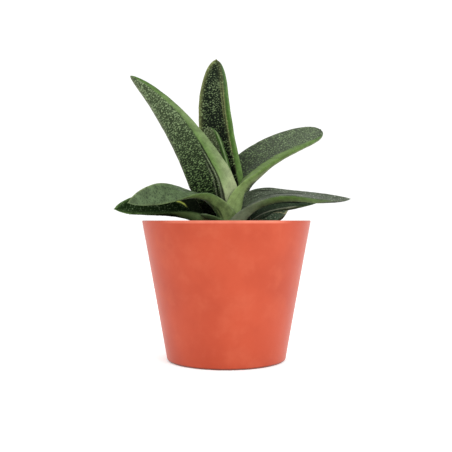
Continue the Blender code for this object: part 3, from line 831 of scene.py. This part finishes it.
def stations(leaf):
    """Places along the leaf at even steps over its surface, closer together round a blunt tip."""
    s = np.linspace(0, 1, ROUTE_STEPS)
    place, _ = along_route(leaf.route, s)
    half = half_share(leaf, s) * leaf.width / 2
    step = np.sqrt((np.diff(place, axis=0) ** 2).sum(1) + np.diff(half) ** 2)
    length = np.concatenate([[0], np.cumsum(step)])
    return np.interp(np.linspace(0, length[-1], round(length[-1] / leaf.mesh_step) + 1), length, s)


def softened(values, times, axis):
    """Values blended with their neighbours round the leaf."""
    for _ in range(times):
        values = (np.roll(values, 1, axis) + 2 * values + np.roll(values, -1, axis)) / 4
    return values


def section_columns(leaf, rounding):
    """Round the leaf from the keel and back: (across, depth), the face, and how far over it each lies."""
    scale = np.array((leaf.width / 2, leaf.thickness[1]))
    curves, kinds, shares = [], [], []
    for kind, points in section_faces(leaf.keel):
        length = np.linalg.norm(np.diff(points * scale, axis=0), axis=1).sum()
        count = max(4, round(length / leaf.mesh_step))
        t = np.arange(count) / count
        curves.append(smooth_through(points * scale, t) / scale)
        kinds.append(np.full(count, kind))
        shares.append(t)
    outline = softened(np.vstack(curves), round(2 * (rounding / MM / leaf.mesh_step) ** 2), 0)
    return outline, np.concatenate(kinds), np.concatenate(shares)


def leaf_skin(leaf, settings):
    """The leaf's surface before its relief. Its last column repeats its first, at the keel."""
    s = stations(leaf)
    outline, kind, share = (np.concatenate([part, part[:1]])
                            for part in section_columns(leaf, settings.margin_rounding))
    kind[-1], share[-1] = NARROW, 1.0
    place, ahead = along_route(leaf.route, s)
    across, up = leaf_axes(leaf, s, ahead)
    half, thick = half_share(leaf, s) * leaf.width / 2, depth(leaf, s)
    point = np.clip(1 - half / POINT_START, 0, 1) ** 2 * leaf.point * settings.point_length / MM
    lift = leaf.clasp * (1 - s) ** 3
    sideways = half[:, None] * outline[:, 0]
    upwards = thick[:, None] * outline[:, 1] + lift[:, None] * outline[:, 0] ** 2
    points = (place[:, None] + (ahead * point[:, None])[:, None]
              + across[:, None] * sideways[..., None] + up[:, None] * upwards[..., None])
    hops = np.linalg.norm(np.diff(points, axis=1), axis=2)
    u = np.concatenate([np.zeros((len(s), 1)), np.cumsum(hops, axis=1)], axis=1)
    middle = np.flatnonzero(kind == UPPER)[(kind == UPPER).sum() // 2]
    u -= u[:, middle:middle + 1]
    steps = np.linalg.norm(np.diff(place, axis=0), axis=1)
    v = np.concatenate([[0], np.cumsum(steps)])[:, None] + np.zeros_like(u)
    return Skin(points, s, kind, share, u, v)


def wart_field(skin, look, seed, cells=512):
    """Warts on a shaken grid: how high each point lies on one, its tone, and how dense they are."""
    u, v = skin.u, skin.v
    rng = np.random.default_rng(seed)
    shift = rng.random((2, cells, cells))
    draw, radius, tone = (rng.random((cells, cells)) for _ in range(3))
    wide, long = look.cluster
    density = smoothstep(0.65 * soft_noise(u, v, wide, long, seed + 1)
                         + 0.35 * soft_noise(u, v, wide * 0.4, long * 0.4, seed + 2), 0.32, 0.64)
    best, best_tone = np.zeros_like(u), np.zeros_like(u)
    i0, j0 = np.floor(u / look.spacing).astype(int), np.floor(v / look.spacing).astype(int)
    # Each point is looked up in the nine cells round it. A wart's centre keeps off its cell's sides, and
    # warts are bigger where they cluster.
    for di in (-1, 0, 1):
        for dj in (-1, 0, 1):
            i, j = (i0 + di) % cells, (j0 + dj) % cells
            centre_u = (i0 + di + 0.15 + 0.7 * shift[0][i, j]) * look.spacing
            centre_v = (j0 + dj + 0.15 + 0.7 * shift[1][i, j]) * look.spacing
            keep = draw[i, j] < look.cover * (1 - look.clumping * (1 - density))
            reach = look.size * (0.65 + 0.6 * radius[i, j]) * (0.85 + 0.3 * density)
            far = ((u - centre_u) ** 2 / WART_WIDTH + (v - centre_v) ** 2 * WART_WIDTH) / reach**2
            dome = np.where(keep, np.clip(1 - far, 0, 1) ** 0.7, 0)
            higher = dome > best
            best, best_tone = np.where(higher, dome, best), np.where(higher, tone[i, j], best_tone)
    return best, best_tone, density


def by_place(pairs, s):
    """What (place, value) pairs give at every s, as a column."""
    return np.interp(s, *zip(*pairs))[:, None]


def near(distance, width):
    """1 at no distance, and almost 0 past twice the width."""
    return np.exp(-(distance / width) ** 2)


def strip_mark(leaf, skin, inner, seed):
    """The smooth strip: 1 on it and 0 off it, with a slightly ragged, softened edge."""
    s, kind, u = skin.s, skin.kind, skin.u
    ragged = soft_noise(u, skin.v, 1.5, 4, seed) - 0.5
    strip = (kind == NARROW)[None] & (skin.share[None] + 0.06 * ragged < by_place(leaf.strip_cover, s))
    strip |= (kind == UPPER)[None] & (np.abs(u - inner) + ragged < by_place(leaf.strip_over, s))
    strip |= (kind == BROAD)[None] & (u - u[:, :1] < by_place(leaf.strip_past, s))
    return softened(strip.astype(float), round(4 * (STRIP_SOFTNESS / leaf.mesh_step) ** 2) + 1, 1)


def line_marks(leaf, skin, inner):
    """How strongly each point shows one of the leaf's dark grooves, and one of its pale lines."""
    keel = np.where(skin.kind == BROAD, skin.u[:, :1], skin.u[:, -1:])
    dark = pale = np.zeros_like(skin.u)
    for line in leaf.lines:
        beside = (keel if line.beside == "keel" else inner) - skin.u
        mark = near(beside - by_place(line.distance, skin.s), line.width)
        mark *= (smoothstep(skin.s, line.start - LINE_FADE_IN, line.start + LINE_FADE_IN)
                 * (1 - smoothstep(skin.s, line.end - LINE_FADE_OUT, line.end)))[:, None]
        if line.dark:
            dark = np.maximum(dark, mark)
        else:
            pale = np.maximum(pale, PALE_LINE * mark)
    return dark, pale


def leaf_marks(leaf, skin, seed):
    """What the skin shows at every point, by the names that the materials read."""
    look, s, u, v = leaf.look, skin.s, skin.u, skin.v
    outer, inner = (u[:, c:c + 1] for c in (np.flatnonzero(skin.kind == UPPER)[0],
                                            np.flatnonzero(skin.kind == NARROW)[0]))
    strip = strip_mark(leaf, skin, inner, seed + 3)
    groove, pale = line_marks(leaf, skin, inner)

    # Pale margins, which widen and brighten along the leaf
    reach = look.edge_width * (0.35 + 0.65 * smoothstep(s, 0.2, 0.7))[:, None]
    edge = np.maximum(near(u - outer, reach), look.inner_edge * near(u - inner, reach) * (1 - strip))
    edge = np.maximum(edge * smoothstep(s, 0.05, 0.6)[:, None], pale)

    # Warts, which stop at the strip and fade towards the margins, the keel, the root and the grooves
    to_edge = np.minimum.reduce([np.abs(u - line) for line in (outer, inner, u[:, :1], u[:, -1:])])
    wart, tone, density = wart_field(skin, look, seed)
    wart = wart * (1 - strip) * smoothstep(to_edge, 0.2, 0.7)
    wart = wart * smoothstep(v, 2, 8) ** 0.5 * (1 - groove)

    everywhere = np.zeros_like(u)
    return {"wart": wart, "wart_tone": tone, "density": density, "strip": strip, "edge": edge,
            "flank": np.where(skin.kind == NARROW, skin.share, 0)[None] + everywhere, "groove": groove,
            "along": s[:, None] + everywhere}


def swelling():
    """A cloudy texture that the leaves swell and sink by."""
    made = bpy.data.textures.get("swelling") or bpy.data.textures.new("swelling", "CLOUDS")
    made.noise_scale = 9 * MM
    return made


def wrapped_grid(name, skin):
    """A flat grid wrapped round the leaf's surface, and the row and column of each of its vertices."""
    rows, columns = skin.u.shape
    deselect_all()
    bpy.ops.mesh.primitive_grid_add(x_subdivisions=columns - 1, y_subdivisions=rows - 1, size=2)
    obj = named(bpy.context.object, name)
    flat = mesh_points(obj.data)
    column = np.round((flat[:, 0] + 1) / 2 * (columns - 1)).astype(int)
    row = np.round((flat[:, 1] + 1) / 2 * (rows - 1)).astype(int)
    obj.data.vertices.foreach_set("co", (skin.points[row, column] * MM).ravel())
    return obj, (row, column)


def lay_out_skin(mesh, skin, at):
    """Gives the mesh its one UV map, in mm round the leaf and along it."""
    while mesh.uv_layers:
        mesh.uv_layers.remove(mesh.uv_layers[0])
    corner = np.zeros(len(mesh.loops), int)
    mesh.loops.foreach_get("vertex_index", corner)
    uv = np.stack([skin.u, skin.v], axis=2)[at][corner]
    mesh.uv_layers.new(name="skin").data.foreach_set("uv", uv.ravel().astype(np.float32))


def close_leaf(obj):
    """Joins the grid's edges along the keel, and closes the root and the tip."""
    only(obj)
    bpy.ops.object.mode_set(mode="EDIT")
    bpy.ops.mesh.select_all(action="SELECT")
    bpy.ops.mesh.remove_doubles(threshold=WELD)
    bpy.ops.mesh.select_mode(type="EDGE")
    bpy.ops.mesh.select_all(action="DESELECT")
    bpy.ops.mesh.select_non_manifold()
    bpy.ops.mesh.edge_face_add()
    face_out(obj)


def build_leaf(leaf, settings, seed):
    """One leaf: a grid wrapped round its route and closed, then raised into warts and sunk into grooves."""
    skin = leaf_skin(leaf, settings)
    obj, at = wrapped_grid(leaf.name.replace("leaf_", "") + "_leaf", skin)
    marks = leaf_marks(leaf, skin, seed)
    for name, values in marks.items():
        add_float(obj.data, name, values[at])
    lay_out_skin(obj.data, skin, at)
    half = half_share(leaf, skin.s) * leaf.width / 2
    add_weights(obj, "warts", marks["wart"][at])
    add_weights(obj, "grooves", marks["groove"][at])
    add_weights(obj, "body", np.clip(half / SWELLING_START, 0, 1)[at[0]])
    close_leaf(obj)
    apply_modifier(obj, "DISPLACE", strength=settings.wart_height * leaf.look.relief, mid_level=0,
                   vertex_group="warts")
    if leaf.lines:
        apply_modifier(obj, "DISPLACE", strength=-settings.groove_depth, mid_level=0,
                       vertex_group="grooves")
    apply_modifier(obj, "DISPLACE", strength=settings.unevenness, mid_level=0.5, texture=swelling(),
                   texture_coords="LOCAL", vertex_group="body")
    bpy.ops.object.shade_smooth()
    give_material(obj, leaf_material(leaf))
    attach(obj, BODY)
    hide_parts(leaf.name)


# Operators


class GASTERIA_OT_leaves(bpy.types.Operator):
    """Add the eleven leaves of the rosette"""

    bl_idname = "gasteria.leaves"
    bl_label = "Leaves"

    first_seed = 100
    seeds_each = 10  # more than a leaf draws from

    def execute(self, context):
        for number, leaf in enumerate(LEAVES):
            build_leaf(leaf, context.scene.gasteria_leaf, seed=self.first_seed + self.seeds_each * number)
        return {"FINISHED"}


class GASTERIA_OT_pot(bpy.types.Operator):
    """Add the tapered clay pot"""

    bl_idname = "gasteria.pot"
    bl_label = "Pot"

    sides = 160
    corner_rounding = 3 * MM  # where the inner wall meets the floor

    def execute(self, context):
        """A tapered cylinder, hollowed from its top and rounded at the foot, the rim and inside."""
        settings = context.scene.gasteria_pot
        rim_radius = (POT_HIGH.x - POT_LOW.x) / 2
        height = POT_HIGH.z - POT_LOW.z
        deselect_all()
        bpy.ops.mesh.primitive_cylinder_add(vertices=self.sides, radius=settings.base_radius,
                                            depth=height, location=(0, 0, height / 2))
        pot = named(bpy.context.object, "clay_pot")
        bpy.ops.object.transform_apply(location=True, rotation=False, scale=False)
        bpy.ops.object.mode_set(mode="EDIT")
        select_by(pot, "FACE", lambda f: f.calc_center_median().z > height - LEVEL)
        taper = rim_radius / settings.base_radius
        bpy.ops.transform.resize(value=(taper, taper, 1))
        bpy.ops.mesh.inset(thickness=settings.wall)
        drop = height - settings.floor
        bpy.ops.mesh.extrude_region_move(TRANSFORM_OT_translate={"value": (0, 0, -drop)})
        slope = (rim_radius - settings.base_radius) / height
        inner_top = rim_radius - settings.wall
        inner_floor = settings.base_radius + slope * settings.floor - settings.wall
        bpy.ops.transform.resize(value=(inner_floor / inner_top, inner_floor / inner_top, 1))
        bpy.ops.mesh.inset(thickness=settings.wall)
        for radius, z, width in ((settings.base_radius, 0, settings.foot_rounding),
                                 (rim_radius, height, settings.rim_rounding),
                                 (inner_top, height, settings.rim_rounding),
                                 (inner_floor, settings.floor, self.corner_rounding)):
            select_by(pot, "EDGE", lambda e: all(
                abs(v.co.z - z) < LEVEL and abs(v.co.xy.length - radius) < ROUND for v in e.verts))
            bpy.ops.mesh.bevel(offset=width, offset_type="WIDTH", segments=6, affect="EDGES")
        bpy.ops.object.mode_set(mode="OBJECT")
        bpy.ops.object.shade_smooth_by_angle(angle=math.radians(40))
        give_material(pot, clay_material(settings))
        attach(pot, BODY)
        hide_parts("pot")
        return {"FINISHED"}


class GASTERIA_OT_soil(bpy.types.Operator):
    """Add the mounded soil and the loose grains on it"""

    bl_idname = "gasteria.soil"
    bl_label = "Soil"

    rings = 70
    sides = 180
    blank_height = 60 * MM  # the cylinder before its top is raised
    lump_scale = 160  # per metre
    lump_detail = (0.9, 2.2, 4)  # the noise's smoothness, how much finer each octave is, and octaves
    most_over = 1.5 * MM  # how far a lump may stand over the soil's solid
    grain_seed = 7
    grain_reach = 0.96  # share of the soil's radius that the grains lie within
    grain_shape = (1, 0.75, 0.6)  # length, width and height

    def execute(self, context):
        settings = context.scene.gasteria_soil
        self.add_mound(settings)
        self.add_grains(settings)
        return {"FINISHED"}

    def height(self, x, y, settings):
        """Height of the soil's top before its lumps: a mound that falls off towards the wall."""
        share = min(1.0, math.hypot(x, y) / SOIL_HIGH.x)
        return SOIL_HIGH.z - settings.mound * smoothstep(np.float64(share), 0.05, 1.1) ** 0.8

    def add_mound(self, settings):
        """A cylinder with a ringed top, which is raised into a lumpy mound."""
        deselect_all()
        radius = SOIL_HIGH.x
        low = SOIL_LOW.z
        bpy.ops.mesh.primitive_cylinder_add(vertices=self.sides, radius=radius, depth=self.blank_height,
                                            location=(0, 0, low + self.blank_height / 2))
        soil = named(bpy.context.object, "soil_mound")
        bpy.ops.object.transform_apply(location=True, rotation=False, scale=False)
        bpy.ops.object.mode_set(mode="EDIT")
        select_by(soil, "FACE", lambda f: f.calc_center_median().z < low + LEVEL)
        pot = bpy.context.scene.gasteria_pot
        foot = (pot.base_radius - pot.wall) / radius
        bpy.ops.transform.resize(value=(foot, foot, 1))
        select_by(soil, "FACE", lambda f: f.normal.z > 0.99)
        for _ in range(self.rings):
            bpy.ops.mesh.inset(thickness=radius / (self.rings + 1))
        bpy.ops.mesh.merge(type="CENTER")
        bpy.ops.object.mode_set(mode="OBJECT")
        for vert in soil.data.vertices:
            x, y, z = vert.co
            if z < low + self.blank_height / 2:
                continue
            lump = noise.fractal(Vector((x, y, 0)) * self.lump_scale, *self.lump_detail)
            off_wall = 1 - smoothstep(np.float64(math.hypot(x, y)), radius * 0.93, radius)
            vert.co.z = min(self.height(x, y, settings) + settings.lumps * lump * (0.3 + 0.7 * off_wall),
                            SOIL_HIGH.z + self.most_over)
        only(soil)
        bpy.ops.object.shade_smooth_by_angle(angle=math.radians(50))
        give_material(soil, soil_material(settings))
        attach(soil, BODY)
        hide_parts("potting_soil")

    def add_grains(self, settings):
        """Grains copied over the mound, each turned and squashed its own way, joined as one piece."""
        deselect_all()
        bpy.ops.mesh.primitive_ico_sphere_add(subdivisions=1, radius=1)
        grain = bpy.context.object
        shape = mesh_points(grain.data)
        faces = [tuple(p.vertices) for p in grain.data.polygons]
        rng = np.random.default_rng(self.grain_seed)
        points, all_faces, kinds = [], [], []
        for n in range(settings.grains):
            r = SOIL_HIGH.x * self.grain_reach * math.sqrt(rng.random())
            angle = 2 * math.pi * rng.random()
            x, y = r * math.cos(angle), r * math.sin(angle)
            kind = rng.random()
            size = settings.grain_size * (0.45 + 1.0 * rng.random() ** 2)
            turn, _ = np.linalg.qr(rng.normal(size=(3, 3)))
            crumb = shape * (0.75 + 0.5 * rng.random((len(shape), 1))) * self.grain_shape * size
            z = self.height(x, y, settings) + 0.25 * size
            points.append(crumb @ turn + (x, y, z))
            all_faces += [tuple(i + n * len(shape) for i in f) for f in faces]
            kinds += [kind] * len(shape)
        only(grain)
        bpy.ops.object.delete()
        mesh = bpy.data.meshes.new("soil_grains")
        mesh.from_pydata(np.vstack(points).tolist(), [], all_faces)
        grains = bpy.data.objects.new("soil_grains", mesh)
        bpy.context.scene.collection.objects.link(grains)
        add_float(mesh, "grain_kind", kinds)
        face_out(grains)
        give_material(grains, grain_material())
        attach(grains, BODY)


class GASTERIA_OT_stem(bpy.types.Operator):
    """Give the stem and its roots their finish"""

    bl_idname = "gasteria.stem"
    bl_label = "Stem and Roots"

    def execute(self, context):
        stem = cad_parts["stem_with_roots"]
        give_material(stem, root_material())
        return {"FINISHED"}


class GASTERIA_OT_stage(bpy.types.Operator):
    """Add the white floor, the lights, the surround and the camera"""

    bl_idname = "gasteria.stage"
    bl_label = "Stage"

    floor_gap = 0.05 * MM  # keeps the floor clear of the pot's underside
    lights = (("key", (0.7, -0.9, 0.9), 0.8, 1.0),  # name, place, size, and share of the key light's power
              ("top", (-0.1, 0.1, 1.2), 1.0, 0.6))
    camera_shift = (-0.0007, -0.0122)

    def execute(self, context):
        settings = context.scene.gasteria_stage
        deselect_all()
        bpy.ops.mesh.primitive_plane_add(size=settings.floor_size, location=(0, 0, -self.floor_gap))
        floor = named(bpy.context.object, "floor")
        bpy.ops.object.transform_apply(location=True, rotation=False, scale=False)
        give_material(floor, floor_material())
        for name, place, size, share in self.lights:
            self.add_light(name, place, size, settings.key * share)
        self.set_world(settings)
        self.add_camera(settings)
        return {"FINISHED"}

    def add_light(self, name, place, size, power):
        """A square area light that faces the plant's crown."""
        target = Vector((0, 0, POT_HIGH.z))
        deselect_all()
        bpy.ops.object.light_add(type="AREA", location=place)
        light = named(bpy.context.object, name)
        light.rotation_euler = (target - Vector(place)).to_track_quat("-Z", "Y").to_euler()
        light.data.size = size
        light.data.energy = power

    def set_world(self, settings):
        scene = bpy.context.scene
        scene.world = scene.world or bpy.data.worlds.new("surround")
        scene.world.use_nodes = True
        background = scene.world.node_tree.nodes["Background"].inputs
        background["Color"].default_value = WHITE
        background["Strength"].default_value = settings.surround
        scene.view_settings.view_transform = "Standard"
        scene.view_settings.look = "None"
        scene.view_settings.exposure = 0
        scene.view_settings.gamma = 1

    def add_camera(self, settings):
        deselect_all()
        bpy.ops.object.camera_add(location=(0, -settings.camera_distance, settings.eye_height),
                                  rotation=(math.pi / 2, 0, 0))
        camera = named(bpy.context.object, "camera")
        camera.data.lens = settings.lens
        camera.data.sensor_width = 36
        camera.data.shift_x, camera.data.shift_y = self.camera_shift
        camera.data.clip_start = 0.01
        bpy.context.scene.camera = camera


class GASTERIA_PT_panel(bpy.types.Panel):
    """The plant's pieces and their settings"""

    bl_idname = "GASTERIA_PT_panel"
    bl_label = "Potted Gasteria"
    bl_space_type = "VIEW_3D"
    bl_region_type = "UI"
    bl_category = "Gasteria"

    def draw(self, context):
        for operator, group in PIECES:
            box = self.layout.box()
            box.operator(operator.bl_idname)
            for key in SETTINGS[group].__annotations__ if group else ():
                box.prop(getattr(context.scene, group), key)


SETTINGS = {
    "gasteria_leaf": GasteriaLeafSettings,
    "gasteria_pot": GasteriaPotSettings,
    "gasteria_soil": GasteriaSoilSettings,
    "gasteria_stage": GasteriaStageSettings,
}
PIECES = (
    (GASTERIA_OT_stage, "gasteria_stage"),
    (GASTERIA_OT_pot, "gasteria_pot"),
    (GASTERIA_OT_soil, "gasteria_soil"),
    (GASTERIA_OT_stem, None),
    (GASTERIA_OT_leaves, "gasteria_leaf"),
)
CLASSES = (*SETTINGS.values(), *(operator for operator, _ in PIECES), GASTERIA_PT_panel)


def register():
    for cls in CLASSES:
        bpy.utils.register_class(cls)
    for name, cls in SETTINGS.items():
        setattr(bpy.types.Scene, name, PointerProperty(type=cls))


def unregister():
    for name in SETTINGS:
        delattr(bpy.types.Scene, name)
    for cls in reversed(CLASSES):
        bpy.utils.unregister_class(cls)


def main():
    register()
    bpy.ops.gasteria.stage()
    bpy.ops.gasteria.pot()
    bpy.ops.gasteria.soil()
    bpy.ops.gasteria.stem()
    bpy.ops.gasteria.leaves()


if __name__ == "__main__":
    main()
